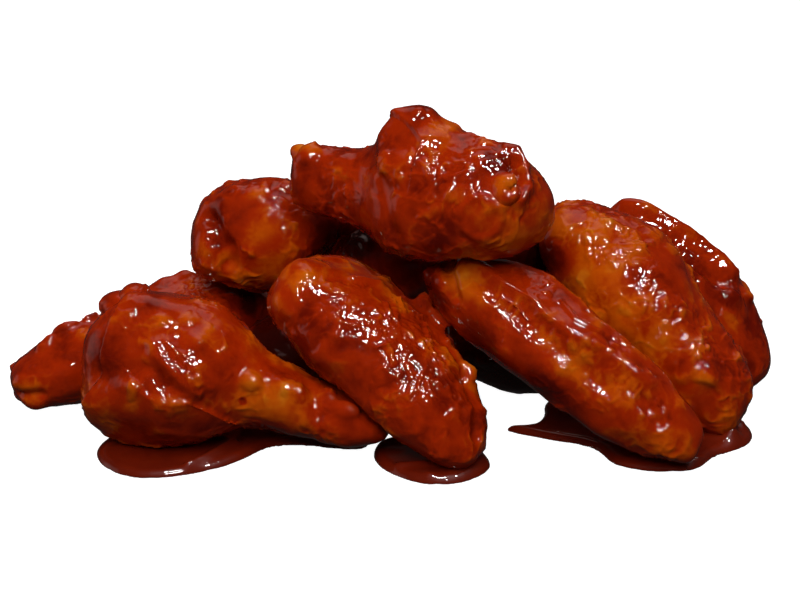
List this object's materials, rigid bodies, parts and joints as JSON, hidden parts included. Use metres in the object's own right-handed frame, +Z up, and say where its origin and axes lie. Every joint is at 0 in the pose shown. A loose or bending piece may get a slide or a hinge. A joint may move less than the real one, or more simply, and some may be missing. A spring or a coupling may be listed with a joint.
{
  "type": "sauced chicken wings serving",
  "caption": "Serving of sauced chicken wings: drumettes and flats with a knobbly crust, heaped on each other under glossy red glaze, with pools of sauce beneath.",
  "frame": {"origin": "on the surface that the heap lies on, under the middle of its bounding box", "axes": "+X to the right of the heap as it is seen from the front, +Y to its back, +Z up"},
  "size_m": [0.251, 0.1396, 0.1053],
  "materials": {
    "glazed_crust": "wet, glossy red-brown sauce over a knobbly fried crust, more orange where the sauce is thin",
    "sauce": "wet, glossy dark red sauce"
  },
  "bodies": {
    "root": {"front_left_drumette": "glazed_crust", "left_flat": "glazed_crust", "left_upper_drumette": "glazed_crust", "top_drumette": "glazed_crust", "centre_flat": "glazed_crust", "front_right_flat": "glazed_crust", "right_flat": "glazed_crust", "right_back_flat": "glazed_crust", "middle_flat": "glazed_crust", "core_drumette": "glazed_crust", "core_flat": "glazed_crust", "back_right_drumette": "glazed_crust", "back_flat": "glazed_crust", "left_sauce_pool": "sauce", "centre_sauce_pool": "sauce", "right_sauce_pool": "sauce"}
  },
  "joints": []
}
